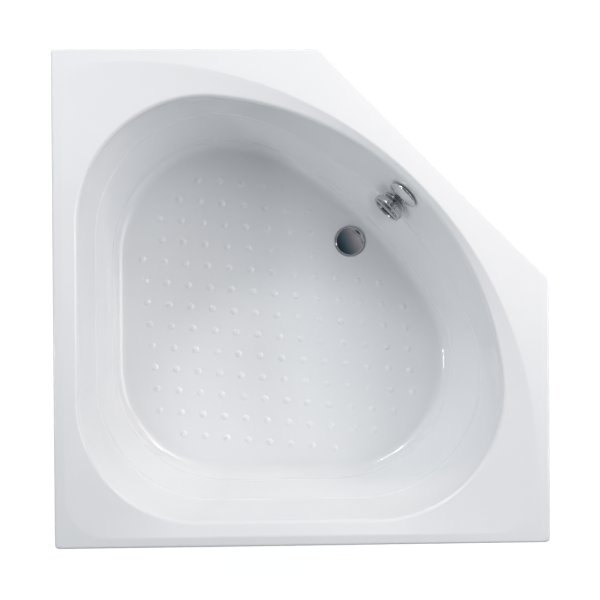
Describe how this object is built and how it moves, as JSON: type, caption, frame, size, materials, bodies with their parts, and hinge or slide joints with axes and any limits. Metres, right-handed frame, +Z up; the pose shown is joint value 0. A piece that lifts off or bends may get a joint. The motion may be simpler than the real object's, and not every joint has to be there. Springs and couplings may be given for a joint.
{
  "type": "corner shower bath",
  "caption": "Corner shower bath with a cut-off corner, moulded bowl with anti-slip studs, knob-worked pop-up waste, overflow, trap and levelling steel underframe.",
  "frame": {"origin": "on the floor under the middle of the square that the bath is cut from", "axes": "+X to the right and +Y away in the picture, which looks straight down; +Z up; the cut corner lies towards +X +Y"},
  "size_m": [1.1, 1.1, 0.59],
  "materials": {
    "acrylic": "glossy white sanitary acrylic",
    "chipboard": "raw chipboard sealed with resin",
    "timber": "planed softwood",
    "galvanised_steel": "galvanised steel tube",
    "zinc_steel": "zinc plated steel",
    "foot_plastic": "black moulded plastic",
    "seal_rubber": "black rubber",
    "chrome": "polished chrome plating",
    "stem_steel": "turned stainless steel",
    "white_pipe": "white plastic pipe",
    "cable_sheath": "black plastic cable sheath",
    "waste_plastic": "grey moulded plastic"
  },
  "bodies": {
    "bath": {"bath_shell": "acrylic", "baseboard": "chipboard", "rim_batten_left": "timber", "rim_batten_near": "timber", "rim_batten_right": "timber", "rim_batten_far": "timber", "rim_batten_cut": "timber", "side_rail_left": "galvanised_steel", "side_rail_right": "galvanised_steel", "cross_rail_front": "galvanised_steel", "cross_rail_rear": "galvanised_steel", "corner_rail": "galvanised_steel", "rail_screws": "zinc_steel", "foot_bushes": "galvanised_steel", "foot_lock_nuts": "zinc_steel", "wall_clips": "galvanised_steel", "clip_screws": "zinc_steel", "waste_upper_seal": "seal_rubber", "waste_flange": "chrome", "waste_lower_seal": "seal_rubber", "waste_body": "waste_plastic", "trap_union_nut": "waste_plastic", "trap_washer": "seal_rubber", "trap_body": "waste_plastic", "trap_cap": "waste_plastic", "overflow_cover": "chrome", "overflow_insert": "waste_plastic", "overflow_seal": "seal_rubber", "overflow_body": "waste_plastic", "overflow_elbow_upper": "white_pipe", "overflow_drop_pipe": "white_pipe", "overflow_elbow_lower": "white_pipe", "overflow_run_pipe": "white_pipe", "control_rosette": "chrome", "control_seal": "seal_rubber", "control_housing": "waste_plastic", "control_cable": "cable_sheath"},
    "turn_knob": {"control_knob": "chrome", "control_spindle": "stem_steel"},
    "plug": {"plug_dome": "chrome", "plug_seal": "seal_rubber", "plug_stem": "stem_steel"},
    "lifter": {"lifter_arm": "waste_plastic", "lifter_shaft": "stem_steel"},
    "foot_1": {"foot_stud_1": "zinc_steel", "foot_pad_1": "foot_plastic"},
    "foot_2": {"foot_stud_2": "zinc_steel", "foot_pad_2": "foot_plastic"},
    "foot_3": {"foot_stud_3": "zinc_steel", "foot_pad_3": "foot_plastic"},
    "foot_4": {"foot_stud_4": "zinc_steel", "foot_pad_4": "foot_plastic"},
    "foot_5": {"foot_stud_5": "zinc_steel", "foot_pad_5": "foot_plastic"}
  },
  "joints": [
    {"name": "knob_turn", "type": "hinge", "parent": "bath", "child": "turn_knob", "pos_m": [0.22438, 0.22438, 0.42777], "axis": [-0.6937, -0.6937, 0.1938], "range_deg": [0, 120]},
    {"name": "plug_lift", "type": "slide", "parent": "bath", "child": "plug", "axis": [0, 0, 1], "range_m": [0, 0.01]},
    {"name": "lifter_swing", "type": "hinge", "parent": "bath", "child": "lifter", "pos_m": [0.15216, 0.15216, 0.154], "axis": [-0.7071, 0.7071, 0], "range_deg": [0, 26]},
    {"name": "foot_1_level", "type": "slide", "parent": "bath", "child": "foot_1", "axis": [0, 0, 1], "range_m": [-0.015, 0.02]},
    {"name": "foot_2_level", "type": "slide", "parent": "bath", "child": "foot_2", "axis": [0, 0, 1], "range_m": [-0.015, 0.02]},
    {"name": "foot_3_level", "type": "slide", "parent": "bath", "child": "foot_3", "axis": [0, 0, 1], "range_m": [-0.015, 0.02]},
    {"name": "foot_4_level", "type": "slide", "parent": "bath", "child": "foot_4", "axis": [0, 0, 1], "range_m": [-0.015, 0.02]},
    {"name": "foot_5_level", "type": "slide", "parent": "bath", "child": "foot_5", "axis": [0, 0, 1], "range_m": [-0.015, 0.02]}
  ],
  "couplings": [
    {"joint": "plug_lift", "follows": "knob_turn", "m_per_rad": 0.004679},
    {"joint": "lifter_swing", "follows": "knob_turn", "ratio": 0.21645}
  ]
}
